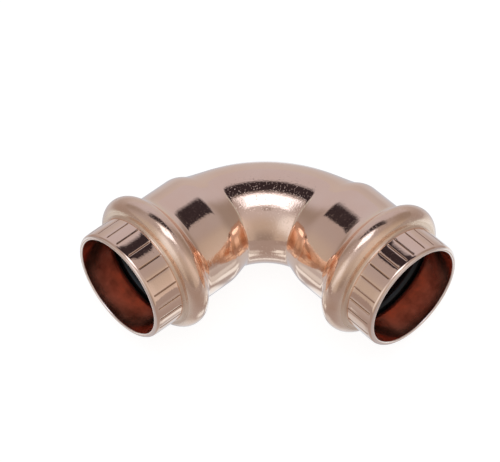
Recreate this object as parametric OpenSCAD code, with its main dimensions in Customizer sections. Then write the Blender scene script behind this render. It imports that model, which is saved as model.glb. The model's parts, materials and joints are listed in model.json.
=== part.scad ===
// Copper press-fit elbow, 90 degrees, for 3/4 inch nominal (22.2 mm) copper tube.
// One formed copper body with a press socket at each end, and a rubber seal ring in each socket's bead.
// Millimetres, +Z up, z = 0 the bench. The left socket opens towards -Y and the right socket towards +X.
// The elbow lies as it does on a bench: on the undersides of its two beads and of its bend.

/* [Tube and socket] */
// Outside diameter of the copper tube that the sockets take
tube_od = 22.225; // [21:0.025:23.5]
// Gap all round between the tube and the socket's bore
socket_gap = 0.0875; // [0.05:0.0125:0.2]
// Depth of the straight bore, from the mouth to the start of the shoulder that stops the tube
socket_depth = 22.5; // [21.5:0.5:24]

/* [Body] */
// Wall of the formed copper
wall = 1.15; // [1:0.05:1.4]
// From the corner where the two axes cross to each mouth
corner_to_mouth = 42.8; // [42:0.2:48]
// Radius of the bend, measured on its axis
bend_radius = 20.6; // [19:0.2:22]
// Outside diameter of the tube in the bend
bend_od = 21.3; // [20.5:0.1:22]
// Rounding of both edges of each mouth
rim_round = 0.45; // [0.2:0.05:0.45]

/* [Shoulder] */
// Outside radius of the shoulder where it leaves the socket
shoulder_round = 4.5; // [3.5:0.5:5.5]
// Outside radius of the hollow where the shoulder runs into the bend
shoulder_hollow = 3; // [2:0.5:4]
// Steepest slope of the shoulder, in degrees
shoulder_slope = 36; // [32:2:40]
// Slope at which the shoulder runs out into the bend, in degrees
runout_slope = 20; // [18:1:22]

/* [Bead and seal ring] */
// From the mouth to the middle of the bead
bead_setback = 10.2; // [9:0.2:12]
// Thickness of the seal ring's round section
seal_section = 3.1; // [2.8:0.1:3.4]
// How much further in than the tube's surface the seal ring reaches
seal_bite = 0.1125; // [0.05:0.0125:0.15]
// Gap between the seal ring and its groove
seal_gap = 0.04; // [0.03:0.01:0.1]
// Fillet between the bead and the collar at the mouth
collar_fillet = 0.7; // [0.5:0.1:1]
// Fillet between the bead and the socket
socket_fillet = 2.4; // [1.8:0.1:2.8]

/* [Score marks] */
// Number of fine score marks around each collar
mark_count = 24; // [12:2:36]
// Width of a score mark
mark_width = 0.3; // [0.2:0.05:0.4]
// Depth of a score mark
mark_depth = 0.12; // [0.08:0.02:0.2]
// Bare copper between a score mark and each end of the collar
mark_margin = 0.8; // [0.6:0.1:1.5]

/* [View] */
// Node to build

/* [Hidden] */
$fn = 96;

// Overlap that lets two arcs cross cleanly where they run into each other
cross = 0.002;

bore_r = tube_od / 2 + socket_gap;
socket_r = bore_r + wall;
bend_r = bend_od / 2;
stop_s = corner_to_mouth - socket_depth;
bead_s = corner_to_mouth - bead_setback;

seal_r = seal_section / 2;
ring_r = tube_od / 2 - seal_bite + seal_r;
groove_r = seal_r + seal_gap;
bead_r = groove_r + wall;

// Bend and leg overlap along this stretch, so that they join without a slit
leg_start = min(bend_radius, stop_s) - 0.5;
// The shoulder's cone ends here, inside the bend
runout_s = stop_s - 12;

// The elbow's rest: the tilt about the diagonal that puts both beads and the bend on one plane
rest_arm = bead_s / sqrt(2) - (sqrt(2) - 1) * bend_radius;
rest_drop = bend_r - bead_r;
rest_a = pow(rest_arm, 2) + pow(ring_r, 2) / 2;
rest_b = rest_arm * rest_drop;
rest_c = pow(rest_drop, 2) - pow(ring_r, 2);
rest_tilt = asin((sqrt(pow(rest_b, 2) - rest_a * rest_c) - rest_b) / rest_a);
rest_height = bend_r - (sqrt(2) - 1) * bend_radius * sin(rest_tilt);

// A leg's direction after the tilt, and the box around the elbow, which the origin is centred under
leg_along = (1 + cos(rest_tilt)) / 2;
leg_aside = (1 - cos(rest_tilt)) / 2;
mouth_reach = (corner_to_mouth - rim_round) * leg_along
    + (socket_r - rim_round) * sqrt(1 - pow(leg_along, 2)) + rim_round;
bead_reach = ring_r * sqrt(1 - pow(leg_aside, 2)) + bead_r + bead_s * leg_aside;
centre = (mouth_reach - bead_reach) / 2;

// Distance along the axis from the bead's middle to the centre of a fillet of radius f
function fillet_run(f) = sqrt(pow(bead_r + f, 2) - pow(socket_r + f - ring_r, 2));

// Everything below is drawn with the radius across and the distance from the corner upwards.

// A bead's flank: side is 1 towards the mouth and -1 towards the bend
module bead_flank(f, side) {
    fillet = [socket_r + f, bead_s + side * fillet_run(f)];
    difference() {
        polygon([
            [ring_r, bead_s],
            fillet,
            [socket_r - wall / 2, fillet[1]],
            [socket_r - wall / 2, bead_s]
        ]);
        translate(fillet) circle(r = f + cross);
    }
}

// The inside of the same flank, one wall thickness in
module groove_flank(f, side) {
    fillet = [socket_r + f, bead_s + side * fillet_run(f)];
    difference() {
        polygon([
            [ring_r, bead_s],
            fillet,
            [bore_r - wall, fillet[1]],
            [bore_r - wall, bead_s]
        ]);
        translate(fillet) circle(r = f + wall + cross);
    }
}

// The shoulder: a round, a hollow and a cone, from radius r inwards
module shoulder(r, round_r, hollow_r) {
    middle = [r - round_r, stop_s];
    turn = middle + round_r * [cos(shoulder_slope), -sin(shoulder_slope)];
    hollow = turn + hollow_r * [cos(shoulder_slope), -sin(shoulder_slope)];
    out = hollow - hollow_r * [cos(runout_slope), -sin(runout_slope)];
    last = out[0] - (out[1] - runout_s) * tan(runout_slope);
    difference() {
        polygon([
            [0, stop_s],
            middle,
            turn,
            out,
            [last, runout_s],
            [0, runout_s]
        ]);
        translate(hollow) circle(r = hollow_r + cross);
    }
    intersection() {
        translate(middle) circle(r = round_r);
        translate([0, stop_s - round_r]) square([r + 1, round_r + 0.5]);
    }
}

module leg_outside() {
    translate([0, stop_s]) square([socket_r, socket_depth - rim_round]);
    translate([0, stop_s]) square([socket_r - rim_round, socket_depth]);
    translate([socket_r - rim_round, corner_to_mouth - rim_round]) circle(r = rim_round);
    translate([ring_r, bead_s]) circle(r = bead_r);
    bead_flank(collar_fillet, 1);
    bead_flank(socket_fillet, -1);
    shoulder(socket_r, shoulder_round, shoulder_hollow);
    translate([0, leg_start]) square([bend_r, stop_s - leg_start + 1]);
}

module leg_inside() {
    translate([0, stop_s]) square([bore_r, socket_depth + 1]);
    translate([ring_r, bead_s]) circle(r = groove_r);
    groove_flank(collar_fillet, 1);
    groove_flank(socket_fillet, -1);
    shoulder(bore_r, shoulder_round - wall, shoulder_hollow + wall);
    translate([0, leg_start]) square([bend_r - wall, stop_s - leg_start + 1]);
    difference() {
        translate([bore_r - wall, corner_to_mouth - rim_round]) square([wall + rim_round, rim_round + 1]);
        translate([bore_r + rim_round, corner_to_mouth - rim_round]) circle(r = rim_round);
    }
}

// Lays a leg drawn along +Z towards the right (+X) or the left (-Y)
module to_right() rotate([0, 90, 0]) children();
module to_left() rotate([90, 0, 0]) children();

// The quarter turn of the bend
module bend(r) {
    translate([bend_radius, -bend_radius, 0]) rotate([0, 0, 90]) rotate_extrude(angle = 90)
        translate([bend_radius, 0]) circle(r = r);
}

// One leg's score marks, cut a little into the collar
module score_marks() {
    first = bead_s + fillet_run(collar_fillet) + mark_margin;
    for (i = [0 : mark_count - 1])
        rotate([0, 0, i * 360 / mark_count])
            translate([socket_r - mark_depth, -mark_width / 2, first])
                cube([wall, mark_width, corner_to_mouth - rim_round - mark_margin - first]);
}

// Sets the elbow down on the bench, with the origin under the middle of its box
module on_bench() {
    translate([-centre, centre, rest_height]) rotate(a = -rest_tilt, v = [1, 1, 0]) children();
}

// The copper body, in one piece from mouth to mouth
module elbow_body() color([0.83, 0.60, 0.49]) on_bench() difference() {
    union() {
        bend(bend_r);
        to_right() rotate_extrude() leg_outside();
        to_left() rotate_extrude() leg_outside();
    }
    bend(bend_r - wall);
    to_right() rotate_extrude() leg_inside();
    to_left() rotate_extrude() leg_inside();
    to_right() score_marks();
    to_left() score_marks();
}

module seal_ring() translate([0, 0, bead_s]) rotate_extrude() translate([ring_r, 0]) circle(r = seal_r);

module o_ring_left() color([0.07, 0.07, 0.08]) on_bench() to_left() seal_ring();
module o_ring_right() color([0.07, 0.07, 0.08]) on_bench() to_right() seal_ring();

elbow_body();
o_ring_left();
o_ring_right();
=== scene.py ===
"""Copper press-fit elbow: a fine skin for its body, its finishes, a light tent and the camera."""
import json
import math

import bpy
import numpy as np
from mathutils import Matrix, Vector


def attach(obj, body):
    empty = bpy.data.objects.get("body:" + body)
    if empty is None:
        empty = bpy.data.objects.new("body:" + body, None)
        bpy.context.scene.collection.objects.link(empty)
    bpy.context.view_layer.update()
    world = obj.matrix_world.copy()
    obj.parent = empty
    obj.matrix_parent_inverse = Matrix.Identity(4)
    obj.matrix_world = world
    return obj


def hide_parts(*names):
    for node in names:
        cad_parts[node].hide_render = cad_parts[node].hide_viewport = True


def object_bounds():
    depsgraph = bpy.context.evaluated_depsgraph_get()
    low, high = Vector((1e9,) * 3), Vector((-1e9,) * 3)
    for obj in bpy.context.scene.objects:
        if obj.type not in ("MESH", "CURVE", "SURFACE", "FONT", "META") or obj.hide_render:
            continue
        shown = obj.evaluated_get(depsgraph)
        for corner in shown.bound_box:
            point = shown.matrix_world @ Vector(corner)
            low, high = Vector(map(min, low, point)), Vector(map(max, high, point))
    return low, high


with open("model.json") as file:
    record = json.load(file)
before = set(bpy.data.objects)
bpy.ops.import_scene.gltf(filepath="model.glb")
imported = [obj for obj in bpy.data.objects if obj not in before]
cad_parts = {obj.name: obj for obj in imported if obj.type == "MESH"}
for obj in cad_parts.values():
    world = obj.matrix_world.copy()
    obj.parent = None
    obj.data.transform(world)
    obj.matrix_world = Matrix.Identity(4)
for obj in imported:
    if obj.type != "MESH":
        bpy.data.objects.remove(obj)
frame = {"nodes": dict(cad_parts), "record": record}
cad_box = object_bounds()
MOUNTS = {mount["name"]: mount for mount in frame["record"]["mounts"]}
MM = 0.001
MICRON = 0.000001
# Guards against a division by nothing
TINY = 1e-9

# Body, in millimetres, with the part's own sizes. Along a leg, s runs from the axes' corner to the mouth.
BORE_R = MOUNTS["socket_right"]["dims"]["r_mm"]
WALL = 1.15
SOCKET_R = BORE_R + WALL
MOUTH = 42.8
SOCKET_DEPTH = 22.5
STOP = MOUTH - SOCKET_DEPTH
BEND_AXIS_R = 20.6
BEND_R = 10.65

# Bead, and the half widths over which the bead and its groove have finishes of their own
BEAD_SETBACK = 10.2
BEAD = MOUTH - BEAD_SETBACK
BEAD_R = 2.74
SEAL_AXIS_R = 12.55
COLLAR_FILLET = 0.7
SOCKET_FILLET = 2.4
BEAD_HALF = 2.6
GROOVE_HALF = 3.4

# Rim's two roundings. The collar also tapers slightly towards its rim and flares slightly towards the bead.
RIM_OUTER = 0.8
RIM_INNER = 0.3
COLLAR_TAPER = 1.2
COLLAR_TAPER_DROP = 0.05
COLLAR_FLARE = 0.9
COLLAR_FLARE_RISE = 0.04

# Shoulder: a round, a hollow and a run-out that ends inside the bend
SHOULDER_ROUND = 4.5
SHOULDER_HOLLOW = 3.0
SHOULDER_SLOPE = math.radians(36)
RUNOUT_SLOPE = math.radians(20)
RUNOUT = 12
RUNOUT_END = STOP - RUNOUT

# On top and towards the bend's inner side the shoulder is a cone that ends in a crease; slopes in degrees
CONE_START = 21.6
CONE_ROUND = 8.0
CONE_SLOPE_TOP = 19.0
CONE_SLOPE_INNER = 15.0
CREASE_SOFT = 0.8
CREASE_SHARP = 0.22

# Where these forms set in round the pipe, from -1 on the bend's outer side to 1 on its inner side
CONE_FROM = (-0.8, -0.2)
CONE_INNER_FROM = (0.15, 0.7)
CREASE_SHARP_FROM = (-0.3, 0.25)

# Painted highlight along the top of the crease: its width, and the sides and heights round the pipe where it
# sets in
CREASE_HIGHLIGHT_WIDTH = 0.05
CREASE_HIGHLIGHT_FROM = (0.15, 0.3)
CREASE_HIGHLIGHT_HEIGHT = (0.5, 0.8)
# Painted highlight lines at the bead's two feet, the head's towards the mouth: shares of the highlight tone,
# places and widths
HEAD_LINE = 0.4
HEAD_LINE_SETBACK = 0.6
HEAD_LINE_WIDTH = 0.45
FOOT_LINE = 0.3
FOOT_LINE_SETBACK = 0.9
FOOT_LINE_WIDTH = 0.8
# The foot's line sets in from -1 on the bend's inner side to 1 on its outer side
FOOT_LINE_FROM = (-0.6, 0.0)

# Painted red glow low in each bore: its middle round the pipe, its reach as a cosine, and its depth behind
# the mouth
BORE_GLOW_MIDDLE = math.radians(298)
BORE_GLOW_REACH = (0.55, 0.97)
BORE_GLOW_DEPTH = (0.4, 4.0)

# Score marks: angles round the collar in degrees, from the bend's outer side over the top to its inner side
MARK_COUNT = 24
MARKS_SEEN_LEFT = [58, 73.1, 87.5, 105, 120.7, 134.6, 150.9, 166.3, 179.7]
MARKS_SEEN_RIGHT = [61.4, 74.7, 89.5, 98.4, 109.6, 122.8, 137, 150, 163.5, 177]
MARK_WIDTH = 0.36
MARK_DEPTH = 0.16
MARK_MARGIN = 0.1
MARK_FADE = 0.25

# Rows of the skin: steps on each stretch of a leg, and degrees between the bend's rings
SHOULDER_STEPS = 4
SOCKET_STEPS = 6
FOOT_STEPS = 8
BEAD_STEPS = 26
HEAD_STEPS = 7
COLLAR_STEPS = (2, 2, 1, 3, 2)
RIM_STEPS = 6
BEND_STEP_OUTSIDE = 0.75
BEND_STEP_INSIDE = 3.0
# The rings stand twice as far apart from here to the bend's middle
BEND_FINE_END = 36
BEND_MIDDLE = 45
BEND_SEARCH_STEPS = 40
# Rows past each leg that still have the leg's finish
BEND_FINISH_SETBACK = 22

# Columns of the skin: on each mark, beside it at these shares of its width, and evenly up to the next one
MARK_SHOULDERS = (0.4, 0.8)
EVEN_COLUMNS = 7
COLUMNS_PER_MARK = EVEN_COLUMNS + 3

# Camera: where it stands round the object, in degrees, and what it looks at, in millimetres
CAMERA_AZIMUTH = 49.538
CAMERA_ELEVATION = 66.641
CAMERA_ROLL = -2.352
CAMERA_DISTANCE = 554.05
CAMERA_AIM = Vector((-6.618, 1.269, 15.0))
CAMERA_LENS = 193.1
# Clipping, in metres
CAMERA_NEAR = 0.01
CAMERA_FAR = 20

# Tent that the copper mirrors. Directions are (right, away) from the camera's side, in degrees from overhead.
TENT_R = 2.0
TENT_RINGS = 36
TENT_SPOKES = 96
TENT_EDGE = 92
TENT_PANELS = {
    "back_wall": ((0.55, 0.58, 0.70), [(-40, 72), (0, 62), (0, 84), (40, 72)]),
    "dim_corners": ((0.31, 0.29, 0.29), [(-60, 42), (60, 42), (72, 15), (0, -86)]),
    "ceiling": ((0.43, 0.43, 0.48), [(-72, 15), (-40, 14), (40, 14)]),
    "front_ceiling": ((0.55, 0.58, 0.67), [(0, -22)]),
    "warm_sides": ((0.51, 0.50, 0.49), [(-72, -10), (72, -10), (0, -52), (-48, -70), (48, -70)]),
    "window": ((0.90, 1.02, 1.17), [(-45, -40)]),
    "pale_door": ((0.70, 0.70, 0.73), [(54, -45)]),
}
PANEL_SPREAD = 13.0
# Share that every panel or side keeps, however far off it is
LEAST_WEIGHT = 1e-6

# Cards hung in the tent, the first one furthest out: corners and soft edge in degrees, and radiance
CARDS = {
    "dark_gap": dict(
        corners=[(-33.0, 28.0), (0.0, 24.0), (38.5, 19.5), (12.0, 50.3), (-8.5, 50.3)],
        level=(0.034, 0.028, 0.037),
        edge=7.0,
        radius=0.97 * TENT_R,
    ),
    "softbox": dict(
        corners=[(-20.5, -8.0), (17.0, -7.5), (14.0, 18.0), (-15.0, 18.0)],
        level=(1.6, 1.9, 2.4),
        edge=9.0,
        radius=0.94 * TENT_R,
    ),
    "lamp_arm": dict(
        corners=[(-5.0, -20.0), (4.0, -19.0), (4.0, -13.0), (-5.0, -14.0)],
        level=(0.33, 0.33, 0.36),
        edge=3.0,
        radius=0.92 * TENT_R,
    ),
}

# Table top that the copper mirrors, its tones painted light and shade, in millimetres: each side's far tone,
# and where it sets in and is full
TABLE_NEAR = (0.57, 0.63, 0.72)
TABLE_SIDES = {
    "back": ((0.57, 0.60, 0.67), 26, 52),
    "right": ((0.37, 0.36, 0.39), 56, 84),
    "front": ((0.38, 0.36, 0.38), -10, 16),
    "left": ((0.34, 0.31, 0.32), 56, 84),
}
# Bright spots on it: (right, away) of both ends, radius and strength
TABLE_SPOTS = [
    ((2, 29), (2, 29), 12, 1.0),
    ((-64, -6), (-64, -6), 22, 1.0),
    ((58, -6), (58, -6), 25, 1.0),
    ((5.8, -7.4), (3.8, -10.6), 3.6, 1.0),
    ((-7.9, -6), (-5.4, -10.2), 2.8, 1.0),
    ((-3.0, -3.5), (2.0, -3.5), 1.1, 1.0),
    ((-6.6, -17.4), (-9.6, -20.9), 3.0, 1.0),
    ((-14.5, -13.0), (-18.5, -15.5), 5.0, 0.5),
    ((5.5, -18.5), (14.5, -15.0), 5.0, 0.5),
]
TABLE_SPOT_COLOUR = (0.90, 1.06, 1.20)
# A spot fades out between these shares of its radius
TABLE_SPOT_FADE = (0.5, 1.3)
# The table's rings are fine near the object, coarser further off, and reach almost to the tent
TABLE_SPOKES = 144
TABLE_FINE_STEP = 0.8
TABLE_FINE_END = 24
TABLE_COARSE_STEP = 3
TABLE_COARSE_END = 96
TABLE_FAR_RINGS = 16
TABLE_TENT_SHARE = 0.999
TABLE_DROP = 0.02

# Floor that the camera sees, and the plain light on it, in metres
FLOOR_EDGE = 4.0
FLOOR_DROP = 0.00005
FLOOR_WHITE = 0.30
FLOOR_GLOW = 0.86
LAMP_HEIGHT = 1.4
LAMP_SIZE = 0.9
LAMP_RADIANCE = 1.2
WORLD_RADIANCE = 0.5

# Span of values that a noise mostly has
NOISE_SPAN = (0.3, 0.7)

# Noise cells per metre in the copper, its wave in microns, and where its two tones and its pits begin and end
PATCH_SCALE = 130
HAZE_SCALE = 600
WAVE_SCALE = 160
GRAIN_SCALE = 2400
PIT_SCALE = 2800
WAVE_HEIGHT = 30
PATCH_SPAN = (0.35, 0.65)
PIT_SPAN = (0.62, 0.70)

# Tones of painted light, a highlight line and a red glow in the bore: how metallic they are, and the least
# share of them in the copper's patches
PAINTED_HIGHLIGHT_LINE = dict(tone=(1.00, 0.80, 0.60), metallic=0.4, least=1.0)
PAINTED_BORE_GLOW = dict(tone=(1.00, 0.17, 0.07), metallic=0.10, least=0.45)

# Tones that the sockets, the bend and the beads share
OUTSIDE_PALE = (0.955, 0.660, 0.490)
OUTSIDE_DEEP = (0.945, 0.630, 0.455)

# The skin's finishes, in the order of its material slots, with grain and pits in microns
COPPERS = {
    "copper_outside": dict(
        pale=OUTSIDE_PALE,
        deep=OUTSIDE_DEEP,
        roughness=(0.05, 0.10),
        grain=5,
        pitting=3,
        painted_light=PAINTED_HIGHLIGHT_LINE,
    ),
    "copper_inside": dict(
        pale=(0.74, 0.33, 0.23),
        deep=(0.45, 0.17, 0.11),
        roughness=(0.14, 0.22),
        grain=4,
        pitting=6,
        patch=300,
        metallic=0.95,
        painted_light=PAINTED_BORE_GLOW,
    ),
    "copper_marks": dict(
        pale=(0.50, 0.28, 0.17),
        deep=(0.38, 0.20, 0.11),
        roughness=(0.20, 0.35),
        grain=12,
        pitting=10,
    ),
    "copper_bend": dict(
        pale=OUTSIDE_PALE,
        deep=OUTSIDE_DEEP,
        roughness=(0.05, 0.10),
        grain=12,
        pitting=11,
        painted_light=PAINTED_HIGHLIGHT_LINE,
    ),
    "copper_bead": dict(
        pale=OUTSIDE_PALE,
        deep=(0.91, 0.60, 0.42),
        roughness=(0.10, 0.20),
        grain=8,
        pitting=10,
        patch=220,
        painted_light=PAINTED_HIGHLIGHT_LINE,
    ),
    "copper_fold": dict(
        pale=(0.84, 0.55, 0.38),
        deep=(0.74, 0.46, 0.31),
        roughness=(0.26, 0.36),
        grain=10,
        pitting=10,
        patch=220,
        painted_light=PAINTED_HIGHLIGHT_LINE,
    ),
    # The rim's paler, less metallic tone is a painted highlight
    "copper_rim": dict(
        pale=(1.00, 0.79, 0.67),
        deep=(1.00, 0.77, 0.64),
        roughness=(0.14, 0.22),
        grain=6,
        pitting=8,
        metallic=0.85,
    ),
    "copper_groove": dict(
        pale=(0.55, 0.27, 0.20),
        deep=(0.42, 0.19, 0.14),
        roughness=(0.30, 0.45),
        grain=6,
        pitting=8,
    ),
}

# Seal rubber: noise cells per metre of its bloom and grain, the grain's height in microns, and its tones
BLOOM_SCALE = 450
RUBBER_GRAIN_SCALE = 5000
RUBBER_GRAIN = 10
RUBBER_TONES = [(0.35, (0.005, 0.006, 0.006)), (0.7, (0.012, 0.014, 0.015))]
RUBBER_ROUGHNESS = (0.13, 0.22)
RUBBER_SPECULAR = 0.35


def smooth_step(value, low, high):
    share = np.clip((np.asarray(value, float) - low) / (high - low), 0, 1)
    return share * share * (3 - 2 * share)


def smooth_max(a, b, softness):
    share = np.clip(0.5 + 0.5 * (a - b) / softness, 0, 1)
    return a * share + b * (1 - share) + softness * share * (1 - share)


def bell(value, middle, width):
    """1 at the middle, falling off smoothly to both sides."""
    return np.exp(-(((value - middle) / width) ** 2))


def inner_side(psi):
    """How far round the pipe psi lies, from -1 on the bend's outer side to 1 on its inner side."""
    return -np.cos(psi)


def arc(centre, radius, start, end, steps):
    """Points (s, r) on an arc of a profile; angles in degrees from along the leg towards outwards."""
    turns = np.radians(np.linspace(start, end, steps + 1))
    return [(centre[0] + radius * math.cos(t), centre[1] + radius * math.sin(t)) for t in turns]


def straight(start, end, radius, steps):
    return [(s, radius) for s in np.linspace(start, end, steps + 1)]


def fillet_centre(fillet, side):
    """Centre of the fillet between the bead and the straight wall; side 1 is towards the mouth."""
    run = math.sqrt((BEAD_R + fillet) ** 2 - (SOCKET_R + fillet - SEAL_AXIS_R) ** 2)
    return BEAD + side * run, SOCKET_R + fillet


def collar_ends():
    """Where the score marks start, next to the bead, and where they end, next to the rim."""
    return fillet_centre(COLLAR_FILLET, 1)[0] + MARK_MARGIN, MOUTH - RIM_OUTER - MARK_MARGIN


def collar_swell(s):
    """How far the collar's surface stands out at s: more at the bead's end and less at the rim's."""
    first, last = collar_ends()
    flare = max(first + COLLAR_FLARE - s, 0) / COLLAR_FLARE
    taper = max(s - last + COLLAR_TAPER, 0) / COLLAR_TAPER
    return COLLAR_FLARE_RISE * flare**2 - COLLAR_TAPER_DROP * taper**2


def leg_profile(depth):
    """A leg's profile from the end of the bend to its rim, that deep under the outer surface."""
    foot = fillet_centre(SOCKET_FILLET, -1)
    head = fillet_centre(COLLAR_FILLET, 1)
    foot_lean = math.degrees(math.atan2(foot[1] - SEAL_AXIS_R, BEAD - foot[0]))
    head_lean = math.degrees(math.atan2(head[1] - SEAL_AXIS_R, head[0] - BEAD))
    wall_r = SOCKET_R - depth
    points = straight(BEND_AXIS_R, CONE_START, wall_r, SHOULDER_STEPS)
    points += straight(CONE_START, foot[0], wall_r, SOCKET_STEPS)[1:]
    points += arc(foot, SOCKET_FILLET + depth, -90, -foot_lean, FOOT_STEPS)[1:]
    points += arc((BEAD, SEAL_AXIS_R), BEAD_R - depth, 180 - foot_lean, head_lean, BEAD_STEPS)[1:]
    points += arc(head, COLLAR_FILLET + depth, 180 + head_lean, 270, HEAD_STEPS)[1:]
    first, last = collar_ends()
    stops = [first, first + MARK_FADE, first + COLLAR_FLARE, last - COLLAR_TAPER, last - MARK_FADE, last]
    collar = [(first, wall_r)]
    for start, end, steps in zip(stops, stops[1:], COLLAR_STEPS):
        collar += straight(start, end, wall_r, steps)[1:]
    if depth == 0:
        points += [(s, r + collar_swell(s)) for s, r in collar]
        rim_r = SOCKET_R + collar_swell(last)
        return points + arc((MOUTH - RIM_OUTER, rim_r - RIM_OUTER), RIM_OUTER, 90, 0, RIM_STEPS)
    return points + collar + arc((MOUTH - RIM_INNER, BORE_R + RIM_INNER), RIM_INNER, 270, 360, RIM_STEPS)


def cone_radius(s, psi):
    """Radius of the cone with the round that leads into it."""
    inner = smooth_step(inner_side(psi), *CONE_INNER_FROM)
    slope = np.radians(CONE_SLOPE_TOP + (CONE_SLOPE_INNER - CONE_SLOPE_TOP) * inner)
    down = np.maximum(CONE_START - s, 0)
    run = CONE_ROUND * np.sin(slope)
    drop = CONE_ROUND - np.sqrt(CONE_ROUND**2 - np.minimum(down, run) ** 2)
    return SOCKET_R - drop - np.maximum(down - run, 0) * np.tan(slope)


def shoulder_radius(s, psi, depth):
    """Radius of the shoulder about the leg's axis: round, hollow and run-out, or the cone."""
    round_r = SHOULDER_ROUND - depth
    hollow_r = SHOULDER_HOLLOW + depth
    round_axis = SOCKET_R - depth - round_r
    turn = STOP - round_r * math.sin(SHOULDER_SLOPE)
    hollow_s = STOP - (round_r + hollow_r) * math.sin(SHOULDER_SLOPE)
    hollow_axis = round_axis + (round_r + hollow_r) * math.cos(SHOULDER_SLOPE)
    out = hollow_s + hollow_r * math.sin(RUNOUT_SLOPE)
    out_r = hollow_axis - hollow_r * math.cos(RUNOUT_SLOPE)
    round_part = round_axis + np.sqrt(np.maximum(round_r**2 - (STOP - s) ** 2, 0))
    hollow_part = hollow_axis - np.sqrt(np.maximum(hollow_r**2 - (s - hollow_s) ** 2, 0))
    run_out = out_r - (out - s) * math.tan(RUNOUT_SLOPE)
    radius = np.where(s >= turn, round_part, np.where(s >= out, hollow_part, run_out))
    radius = np.where(s >= STOP, SOCKET_R - depth, radius)
    if depth == 0:
        cone = smooth_step(inner_side(psi), *CONE_FROM)
        radius = radius + cone * (cone_radius(s, psi) - radius)
    return np.where(s < RUNOUT_END, 0, radius)


def bend_radii(phi, psi, depth):
    """Radius round the bend's axis and share of painted highlight on the crease, for each psi, phi radians
    into the bend.
    """
    low, high = np.zeros_like(psi), np.full_like(psi, 2 * SOCKET_R)
    for _ in range(BEND_SEARCH_STEPS):
        middle = (low + high) / 2
        reach = BEND_AXIS_R + middle * np.cos(psi)
        s = BEND_AXIS_R - reach * math.sin(phi)
        off_axis = np.hypot(reach * math.cos(phi) - BEND_AXIS_R, middle * np.sin(psi))
        outside = off_axis > shoulder_radius(s, psi, depth)
        low, high = np.where(outside, low, middle), np.where(outside, middle, high)
    sharp = smooth_step(inner_side(psi), *CREASE_SHARP_FROM)
    softness = CREASE_SOFT + (CREASE_SHARP - CREASE_SOFT) * sharp
    # Painted highlight along the top of the crease, on its upper inner side
    painted_light = bell(low, BEND_R, CREASE_HIGHLIGHT_WIDTH) * smooth_step(np.sin(psi), *CREASE_HIGHLIGHT_HEIGHT)
    painted_light = painted_light * smooth_step(inner_side(psi), *CREASE_HIGHLIGHT_FROM)
    return smooth_max(np.full_like(psi, BEND_R - depth), low, softness), painted_light


def fill_marks(seen):
    """The angles of all the marks: those that show, and even steps over the rest of the collar."""
    gaps = MARK_COUNT - len(seen) + 1
    rest = np.linspace(seen[-1], seen[0] + 360, gaps + 1)[1:-1]
    return np.concatenate([seen, rest])


def column_angles(marks):
    """Column angles in radians: close together at each mark and even between two marks."""
    near = np.degrees(np.array(MARK_SHOULDERS) * MARK_WIDTH / SOCKET_R)
    angles = []
    for mark, following in zip(marks, [*marks[1:], marks[0] + 360]):
        between = np.linspace(mark + near[1], following - near[1], EVEN_COLUMNS)
        angles += [mark, mark + near[0], *between, following - near[0]]
    return np.radians(angles)


def mark_cut(s, psi, marks):
    """Depth of the score marks at s on a collar, for each column."""
    first, last = collar_ends()
    fade = np.clip(min(s - first, last - s) / MARK_FADE, 0, 1)
    turn = psi[:, None] - np.radians(marks)[None, :]
    off = np.abs((turn + math.pi) % (2 * math.pi) - math.pi).min(axis=1) * SOCKET_R
    return MARK_DEPTH * fade * np.clip(1 - off / (MARK_WIDTH / 2), 0, 1)


def leg_painted_light(s, psi, depth):
    """Share of painted light on a leg: painted highlight lines at the bead's feet, or the painted red glow
    low in the bore.
    """
    if depth > 0:
        # Painted red glow low in the bore
        return smooth_step(np.cos(psi - BORE_GLOW_MIDDLE), *BORE_GLOW_REACH) * smooth_step(MOUTH - s, *BORE_GLOW_DEPTH)
    head = fillet_centre(COLLAR_FILLET, 1)[0] - HEAD_LINE_SETBACK
    foot = fillet_centre(SOCKET_FILLET, -1)[0] + FOOT_LINE_SETBACK
    head_line = HEAD_LINE * bell(s, head, HEAD_LINE_WIDTH)
    foot_line = FOOT_LINE * bell(s, foot, FOOT_LINE_WIDTH)
    return head_line + foot_line * smooth_step(np.cos(psi), *FOOT_LINE_FROM)


def ring(centre, outward, radius, psi):
    """Points round the pipe: psi turns from the bend's outer side over its top."""
    up = np.array([0, 0, 1.0])
    return centre + radius[:, None] * (np.cos(psi)[:, None] * outward + np.sin(psi)[:, None] * up)


def mirrored(point):
    """The same place on the left leg for a place on the right leg."""
    return np.array([-point[1], -point[0], point[2]])


def bend_rows(left, right, towards_right, depth):
    """Rows from the bend's middle to a leg: centre, outward direction, radii, column angles and share of
    painted light.
    """
    step = BEND_STEP_OUTSIDE if depth == 0 else BEND_STEP_INSIDE
    fine = np.arange(step, BEND_FINE_END, step)
    coarse = np.arange(BEND_FINE_END, BEND_MIDDLE + step / 2, 2 * step)
    rows = []
    for phi in np.radians([*fine, *coarse])[::-1]:
        share = 0.5 + (0.5 - phi / math.radians(2 * BEND_MIDDLE)) * (1 if towards_right else -1)
        psi = left * (1 - share) + right * share
        outward = np.array([-math.sin(phi), math.cos(phi), 0])
        centre = np.array([BEND_AXIS_R, -BEND_AXIS_R, 0]) + BEND_AXIS_R * outward
        radii, painted_light = bend_radii(phi, psi, depth)
        rows.append((centre, outward, radii, psi, painted_light if depth == 0 else 0 * painted_light))
    return rows


def leg_rows(psi, marks, depth):
    """Rows from the bend to a leg's rim: centre, outward direction, radii, column angles and share of painted
    light.
    """
    rows = []
    for s, radius in leg_profile(depth):
        radii = np.full_like(psi, radius)
        if s < CONE_START:
            radii = np.minimum(radii, shoulder_radius(s, psi, depth))
        if depth == 0:
            radii = radii - mark_cut(s, psi, marks)
        rows.append((np.array([s, 0, 0]), np.array([0, 1.0, 0]), radii, psi, leg_painted_light(s, psi, depth)))
    return rows


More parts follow.
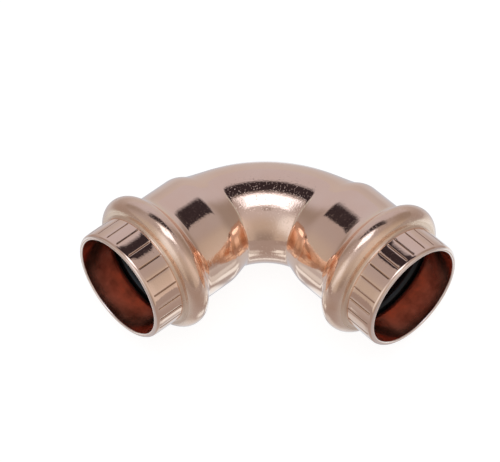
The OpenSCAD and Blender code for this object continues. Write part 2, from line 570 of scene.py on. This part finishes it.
def pipe_rows(depth):
    """Rings of points, each with its share of painted light, from the left rim to the right rim at that
    depth.
    """
    left_marks, right_marks = fill_marks(MARKS_SEEN_LEFT), fill_marks(MARKS_SEEN_RIGHT)
    left, right = column_angles(left_marks), column_angles(right_marks)
    left_half = bend_rows(left, right, False, depth) + leg_rows(left, left_marks, depth)
    right_half = bend_rows(left, right, True, depth) + leg_rows(right, right_marks, depth)
    left_half = [(mirrored(centre), mirrored(outward), *rest) for centre, outward, *rest in left_half]
    # Only the right half keeps its ring nearest the bend's middle
    rows = left_half[:0:-1] + right_half
    return [np.column_stack([ring(*row), painted_light]) for *row, painted_light in rows]


def elbow_frame():
    """Turn and corner that take the elbow's own frame, legs along +X and -Y in millimetres, to its place."""
    right, left = (np.array(MOUNTS[name]["axis"]) for name in ("socket_right", "socket_left"))
    at_right, at_left = (np.array(MOUNTS[name]["pos_m"]) for name in ("socket_right", "socket_left"))
    run = np.linalg.lstsq(np.column_stack([right, -left]), at_left - at_right, rcond=None)[0]
    corner = at_right + run[0] * right
    up = np.cross(right, -left)
    turn = np.column_stack([right, -left, up / np.linalg.norm(up)])
    return turn * MM, corner


def finish_of_faces(outer_rows, rows, columns):
    """Which of the COPPERS each face of the skin has."""
    index = {name: i for i, name in enumerate(COPPERS)}
    finish = np.full((rows, columns), index["copper_outside"], np.int32)
    finish[outer_rows:] = index["copper_inside"]
    leg = [s for s, _ in leg_profile(0)]
    bend_start = len(leg) + BEND_FINISH_SETBACK
    finish[bend_start : outer_rows - bend_start] = index["copper_bend"]
    collar = collar_ends()[0]
    for row, s in enumerate(leg[::-1]):
        for outer in (row, outer_rows - 2 - row):
            if abs(s - BEAD) < BEAD_HALF:
                finish[outer] = index["copper_bead"]
            if BEAD + BEAD_HALF <= s < collar:
                finish[outer] = index["copper_fold"]
            if collar < s < MOUTH - RIM_OUTER:
                finish[outer, 0::COLUMNS_PER_MARK] = index["copper_marks"]
                finish[outer, COLUMNS_PER_MARK - 1 :: COLUMNS_PER_MARK] = index["copper_marks"]
        for inner in (outer_rows + row, rows - 2 - row):
            if abs(s - BEAD) < GROOVE_HALF:
                finish[inner] = index["copper_groove"]
    lip = RIM_STEPS // 2
    finish[:lip] = index["copper_rim"]
    finish[outer_rows - lip - 1 : outer_rows + RIM_STEPS] = index["copper_rim"]
    finish[rows - RIM_STEPS - 1 :] = index["copper_rim"]
    return finish


def elbow_skin():
    """The body as one closed mesh, outside and inside, in place of the CAD body."""
    outside, inside = pipe_rows(0), pipe_rows(WALL)
    grid = np.array(outside + inside[::-1])
    turn, corner = elbow_frame()
    points = grid[..., :3].reshape(-1, 3) @ turn.T + corner
    rows, columns = grid.shape[:2]
    here = np.arange(rows * columns).reshape(rows, columns)
    beside = np.roll(here, -1, axis=1)
    corners = [here, beside, np.roll(beside, -1, axis=0), np.roll(here, -1, axis=0)]
    faces = np.stack(corners, axis=-1).reshape(-1, 4)
    mesh = bpy.data.meshes.new("elbow_skin")
    mesh.from_pydata(points.tolist(), [], faces.tolist())
    mesh.polygons.foreach_set("use_smooth", [True] * len(faces))
    # Share of painted light at each point: highlight lines outside and a red glow in the bores
    burnish = mesh.color_attributes.new("burnish", "FLOAT_COLOR", "POINT")
    burnish.data.foreach_set("color", np.repeat(grid[..., 3].ravel(), 4))
    mesh.polygons.foreach_set("material_index", finish_of_faces(len(outside), rows, columns).ravel())
    return in_scene(bpy.data.objects.new("elbow_skin", mesh))


def in_scene(obj):
    bpy.context.scene.collection.objects.link(obj)
    return obj


def new_material(name):
    material = bpy.data.materials.new(name)
    material.use_nodes = True
    nodes = material.node_tree.nodes
    return material, nodes, material.node_tree.links, nodes["Principled BSDF"]


def noise(nodes, links, place, scale, detail=2.0, roughness=0.5):
    """A noise texture whose cells are 1/scale metres across."""
    node = nodes.new("ShaderNodeTexNoise")
    node.inputs["Scale"].default_value = scale
    node.inputs["Detail"].default_value = detail
    node.inputs["Roughness"].default_value = roughness
    links.new(place, node.inputs["Vector"])
    return node.outputs["Fac"]


def ramp(nodes, links, value, start, end):
    """A colour ramp between two stops, each a position and a colour."""
    node = nodes.new("ShaderNodeValToRGB")
    for element, (position, colour) in zip(node.color_ramp.elements, (start, end)):
        element.position = position
        element.color = (*colour, 1)
    links.new(value, node.inputs["Fac"])
    return node.outputs["Color"]


def bump(nodes, links, height, microns, below=None):
    """A bump that high, on top of another bump."""
    node = nodes.new("ShaderNodeBump")
    node.inputs["Distance"].default_value = microns * MICRON
    links.new(height, node.inputs["Height"])
    if below is not None:
        links.new(below, node.inputs["Normal"])
    return node.outputs["Normal"]


def map_range(nodes, links, value, low, high, span=(0.0, 1.0)):
    """Spreads a value's span over a range."""
    node = nodes.new("ShaderNodeMapRange")
    node.inputs["From Min"].default_value, node.inputs["From Max"].default_value = span
    node.inputs["To Min"].default_value = low
    node.inputs["To Max"].default_value = high
    links.new(value, node.inputs["Value"])
    return node.outputs["Result"]


def math_node(nodes, links, operation, first, second):
    node = nodes.new("ShaderNodeMath")
    node.operation = operation
    links.new(first, node.inputs[0])
    links.new(second, node.inputs[1])
    return node.outputs["Value"]


def painted(nodes, layer):
    """The colour painted on the mesh in that layer."""
    node = nodes.new("ShaderNodeVertexColor")
    node.layer_name = layer
    return node.outputs["Color"]


def blend(nodes, links, share, colour, other):
    """Blends a colour towards another one."""
    node = nodes.new("ShaderNodeMix")
    node.data_type = "RGBA"
    links.new(share, node.inputs["Factor"])
    links.new(colour, node.inputs["A"])
    node.inputs["B"].default_value = (*other, 1)
    return node.outputs["Result"]


def copper(name, pale, deep, roughness, grain, pitting, patch=PATCH_SCALE, metallic=1.0, painted_light=None):
    """Polished copper: two tones in soft patches, a tone of painted light, a slight wave, a fine grain and
    pits.
    """
    material, nodes, links, shader = new_material(name)
    place = nodes.new("ShaderNodeTexCoord").outputs["Object"]
    patches = noise(nodes, links, place, patch, detail=4)
    tone = ramp(nodes, links, patches, (PATCH_SPAN[0], deep), (PATCH_SPAN[1], pale))
    shader.inputs["Metallic"].default_value = metallic
    # Where the mesh is painted with it, the tone blends towards painted light: highlight lines or a red glow
    if painted_light:
        mottle = map_range(nodes, links, patches, painted_light["least"], 1.0, NOISE_SPAN)
        share = math_node(nodes, links, "MULTIPLY", painted(nodes, "burnish"), mottle)
        tone = blend(nodes, links, share, tone, painted_light["tone"])
        links.new(map_range(nodes, links, share, metallic, painted_light["metallic"]), shader.inputs["Metallic"])
    links.new(tone, shader.inputs["Base Color"])
    haze = noise(nodes, links, place, HAZE_SCALE, detail=5, roughness=0.6)
    links.new(map_range(nodes, links, haze, *roughness, NOISE_SPAN), shader.inputs["Roughness"])
    wave = bump(nodes, links, noise(nodes, links, place, WAVE_SCALE, detail=1), WAVE_HEIGHT)
    fine = bump(nodes, links, noise(nodes, links, place, GRAIN_SCALE, detail=1), grain, wave)
    specks = noise(nodes, links, place, PIT_SCALE, detail=2)
    pits = ramp(nodes, links, specks, (PIT_SPAN[0], (0, 0, 0)), (PIT_SPAN[1], (1, 1, 1)))
    links.new(bump(nodes, links, pits, pitting, fine), shader.inputs["Normal"])
    return material


def rubber():
    """Black seal rubber with a faint mould bloom."""
    material, nodes, links, shader = new_material("seal_rubber")
    place = nodes.new("ShaderNodeTexCoord").outputs["Object"]
    bloom = noise(nodes, links, place, BLOOM_SCALE, detail=5)
    links.new(ramp(nodes, links, bloom, *RUBBER_TONES), shader.inputs["Base Color"])
    links.new(map_range(nodes, links, bloom, *RUBBER_ROUGHNESS, NOISE_SPAN), shader.inputs["Roughness"])
    shader.inputs["Specular IOR Level"].default_value = RUBBER_SPECULAR
    grain = noise(nodes, links, place, RUBBER_GRAIN_SCALE, detail=3)
    links.new(bump(nodes, links, grain, RUBBER_GRAIN), shader.inputs["Normal"])
    return material


def sees_white(nodes, links):
    """1 for rays from the camera, and for those that metal or glass turns: they all see the white studio."""
    rays = nodes.new("ShaderNodeLightPath")
    total = rays.outputs["Is Camera Ray"]
    for name in ("Is Glossy Ray", "Is Transmission Ray"):
        total = math_node(nodes, links, "MAXIMUM", total, rays.outputs[name])
    return total


def floor():
    """A pale floor that takes the object's shadow, brought up to white where it is seen."""
    material, nodes, links, shader = new_material("floor")
    shader.inputs["Base Color"].default_value = (FLOOR_WHITE, FLOOR_WHITE, FLOOR_WHITE, 1)
    shader.inputs["Roughness"].default_value = 1.0
    shader.inputs["Specular IOR Level"].default_value = 0.0
    shader.inputs["Emission Color"].default_value = (FLOOR_GLOW, FLOOR_GLOW, FLOOR_GLOW, 1)
    links.new(sees_white(nodes, links), shader.inputs["Emission Strength"])
    corners = [(FLOOR_EDGE * x, FLOOR_EDGE * y, 0) for x, y in ((-1, -1), (1, -1), (1, 1), (-1, 1))]
    mesh = bpy.data.meshes.new("floor")
    mesh.from_pydata(corners, [], [(0, 1, 2, 3)])
    mesh.materials.append(material)
    plane = in_scene(bpy.data.objects.new("floor", mesh))
    plane.location.z = cad_box[0][2] - FLOOR_DROP


def lamp():
    """A plain lamp overhead, which the copper doesn't mirror."""
    light = bpy.data.lights.new("lamp", "AREA")
    light.shape = "SQUARE"
    light.size = LAMP_SIZE
    light.energy = LAMP_RADIANCE * math.pi * LAMP_SIZE**2
    overhead = in_scene(bpy.data.objects.new("lamp", light))
    overhead.location.z = LAMP_HEIGHT
    overhead.visible_glossy = False


def white_world():
    """White where it is seen, and half as bright as a light."""
    world = bpy.data.worlds.new("studio")
    world.use_nodes = True
    bpy.context.scene.world = world
    nodes, links = world.node_tree.nodes, world.node_tree.links
    background = nodes["Background"]
    background.inputs["Color"].default_value = (1, 1, 1, 1)
    strength = map_range(nodes, links, sees_white(nodes, links), WORLD_RADIANCE, 1.0)
    links.new(strength, background.inputs["Strength"])


def painted_glow():
    """An even glow in the colours painted on the mesh."""
    material, nodes, links, shader = new_material("painted_glow")
    nodes.remove(shader)
    glow = nodes.new("ShaderNodeEmission")
    links.new(painted(nodes, "paint"), glow.inputs["Color"])
    links.new(glow.outputs["Emission"], nodes["Material Output"].inputs["Surface"])
    return material


def staged(name, points, faces, colours, material):
    """A studio surface that only mirrored rays meet: it is unseen, casts no shadow and lights no floor."""
    mesh = bpy.data.meshes.new(name)
    mesh.from_pydata([tuple(p) for p in points], [], faces)
    paint = mesh.color_attributes.new("paint", "FLOAT_COLOR", "POINT")
    paint.data.foreach_set("color", np.column_stack([colours, np.ones(len(points))]).ravel())
    mesh.materials.append(material)
    obj = in_scene(bpy.data.objects.new(name, mesh))
    obj.visible_camera = False
    obj.visible_shadow = False
    obj.visible_diffuse = False


def studio_axes():
    """Unit vectors to the right of the camera's view and away from the camera, on the floor."""
    turn = math.radians(CAMERA_AZIMUTH)
    return np.array([math.cos(turn), math.sin(turn), 0]), np.array([-math.sin(turn), math.cos(turn), 0])


def overhead_point(angle, radius):
    """The place in that direction, given as (right, away) degrees from overhead."""
    right, away = studio_axes()
    tilt = math.radians(math.hypot(*angle))
    level = (angle[0] * right + angle[1] * away) / max(math.hypot(*angle), TINY)
    return radius * (math.sin(tilt) * level + math.cos(tilt) * np.array([0, 0, 1.0]))


def polar_places(reaches, spokes):
    """A middle place and rings of places (right, away) round it."""
    turns = np.radians(np.arange(spokes) * 360 / spokes)
    rings = [(reach * math.sin(t), reach * math.cos(t)) for reach in reaches for t in turns]
    return np.array([(0, 0)] + rings)


def polar_faces(rings, spokes):
    """Faces of a fan of rings round a first point."""
    faces = [(0, 1 + j, 1 + (j + 1) % spokes) for j in range(spokes)]
    for i in range(rings - 1):
        start = 1 + i * spokes
        for j in range(spokes):
            k = (j + 1) % spokes
            faces.append((start + j, start + spokes + j, start + spokes + k, start + k))
    return faces


def tent_colours(angles):
    """The panels' colours at those directions, each weighed by how near it is."""
    places = [(centre, colour) for colour, centres in TENT_PANELS.values() for centre in centres]
    centres = np.array([centre for centre, _ in places])
    colours = np.array([colour for _, colour in places])
    off = np.linalg.norm(np.asarray(angles)[:, None, :] - centres[None], axis=2)
    weights = np.exp(-0.5 * (off / PANEL_SPREAD) ** 2) + LEAST_WEIGHT / (1 + off**2)
    return weights @ colours / weights.sum(axis=1, keepdims=True)


def tent(material):
    """A dome of soft panels round the object."""
    angles = polar_places(np.linspace(0, TENT_EDGE, TENT_RINGS + 1)[1:], TENT_SPOKES)
    points = [overhead_point(angle, TENT_R) for angle in angles]
    staged("tent", points, polar_faces(TENT_RINGS, TENT_SPOKES), tent_colours(angles), material)


def moved_corners(corners, by):
    """A polygon's corners moved out from its middle, in degrees."""
    corners = np.array(corners, float)
    out = corners - corners.mean(axis=0)
    return corners + by * out / np.linalg.norm(out, axis=1, keepdims=True)


def card(name, corners, level, edge, radius, material):
    """A flat card overhead with its corners in those directions, and an edge that fades into the tent."""
    inner, outer = moved_corners(corners, -edge / 2), moved_corners(corners, edge / 2)
    points = [overhead_point(corner, radius) for corner in [*inner, *outer]]
    height = min(point[2] for point in points)
    points = [point * height / point[2] for point in points]
    count = len(corners)
    faces = [tuple(range(count))]
    for i in range(count):
        j = (i + 1) % count
        faces.append((i, j, count + j, count + i))
    colours = np.concatenate([np.full((count, 3), level), tent_colours(outer)])
    staged(name, points, faces, colours, material)


def table_colours(places):
    """Colours of the table top at (right, away) places in millimetres."""
    reach = np.hypot(places[:, 0], places[:, 1])
    turn = np.arctan2(places[:, 0], places[:, 1])
    total, weight = np.zeros((len(places), 3)), np.zeros((len(places), 1))
    for side, (far, start, end) in enumerate(TABLE_SIDES.values()):
        facing = np.maximum(np.cos(turn - side * math.pi / 2), 0)[:, None] ** 2 + LEAST_WEIGHT
        far_share = smooth_step(reach, start, end)[:, None]
        total += facing * (np.array(TABLE_NEAR) * (1 - far_share) + np.array(far) * far_share)
        weight += facing
    colours = total / weight
    for start, end, radius, strength in TABLE_SPOTS:
        run = np.array(end, float) - start
        along = np.clip((places - start) @ run / max(run @ run, TINY), 0, 1)
        off = np.linalg.norm(places - start - along[:, None] * run, axis=1)
        fade = smooth_step(off, TABLE_SPOT_FADE[0] * radius, TABLE_SPOT_FADE[1] * radius)
        share = strength * (1 - fade[:, None])
        colours = colours * (1 - share) + np.array(TABLE_SPOT_COLOUR) * share
    return colours


def table(material):
    """The table top as the copper mirrors it."""
    fine = np.arange(TABLE_FINE_STEP, TABLE_FINE_END, TABLE_FINE_STEP)
    coarse = np.arange(TABLE_FINE_END, TABLE_COARSE_END, TABLE_COARSE_STEP)
    far = np.geomspace(TABLE_COARSE_END, TENT_R / MM * TABLE_TENT_SHARE, TABLE_FAR_RINGS)
    reaches = np.concatenate([fine, coarse, far])
    places = polar_places(reaches, TABLE_SPOKES)
    right, away = studio_axes()
    points = [(x * right + y * away - np.array([0, 0, TABLE_DROP])) * MM for x, y in places]
    staged("table", points, polar_faces(len(reaches), TABLE_SPOKES), table_colours(places), material)


def studio():
    """The tent with its cards and table top, and the floor, lamp and world that light the object."""
    glow = painted_glow()
    tent(glow)
    table(glow)
    for name, form in CARDS.items():
        card(name, material=glow, **form)
    lamp()
    floor()
    white_world()


def camera_axes():
    """The camera's right, up and back directions."""
    azimuth, elevation, roll = (math.radians(a) for a in (CAMERA_AZIMUTH, CAMERA_ELEVATION, CAMERA_ROLL))
    flat = math.cos(elevation)
    back = Vector((math.sin(azimuth) * flat, -math.cos(azimuth) * flat, math.sin(elevation)))
    level = Vector((math.cos(azimuth), math.sin(azimuth), 0))
    right = level * math.cos(roll) + back.cross(level) * math.sin(roll)
    return right, back.cross(right), back


def camera():
    """The photograph's camera."""
    axes = camera_axes()
    data = bpy.data.cameras.new("camera")
    data.lens = CAMERA_LENS
    data.clip_start = CAMERA_NEAR
    data.clip_end = CAMERA_FAR
    view = in_scene(bpy.data.objects.new("camera", data))
    place = (CAMERA_AIM + axes[2] * CAMERA_DISTANCE) * MM
    view.matrix_world = Matrix.Translation(place) @ Matrix(axes).transposed().to_4x4()
    bpy.context.scene.camera = view


skin = elbow_skin()
for name, finish in COPPERS.items():
    skin.data.materials.append(copper(name, **finish))
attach(skin, "root")
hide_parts("elbow_body")

seal = rubber()
for name in ("o_ring_left", "o_ring_right"):
    seal_ring = frame["nodes"][name]
    seal_ring.data.materials.clear()
    seal_ring.data.materials.append(seal)

studio()
camera()
bpy.context.scene.view_settings.view_transform = "Standard"
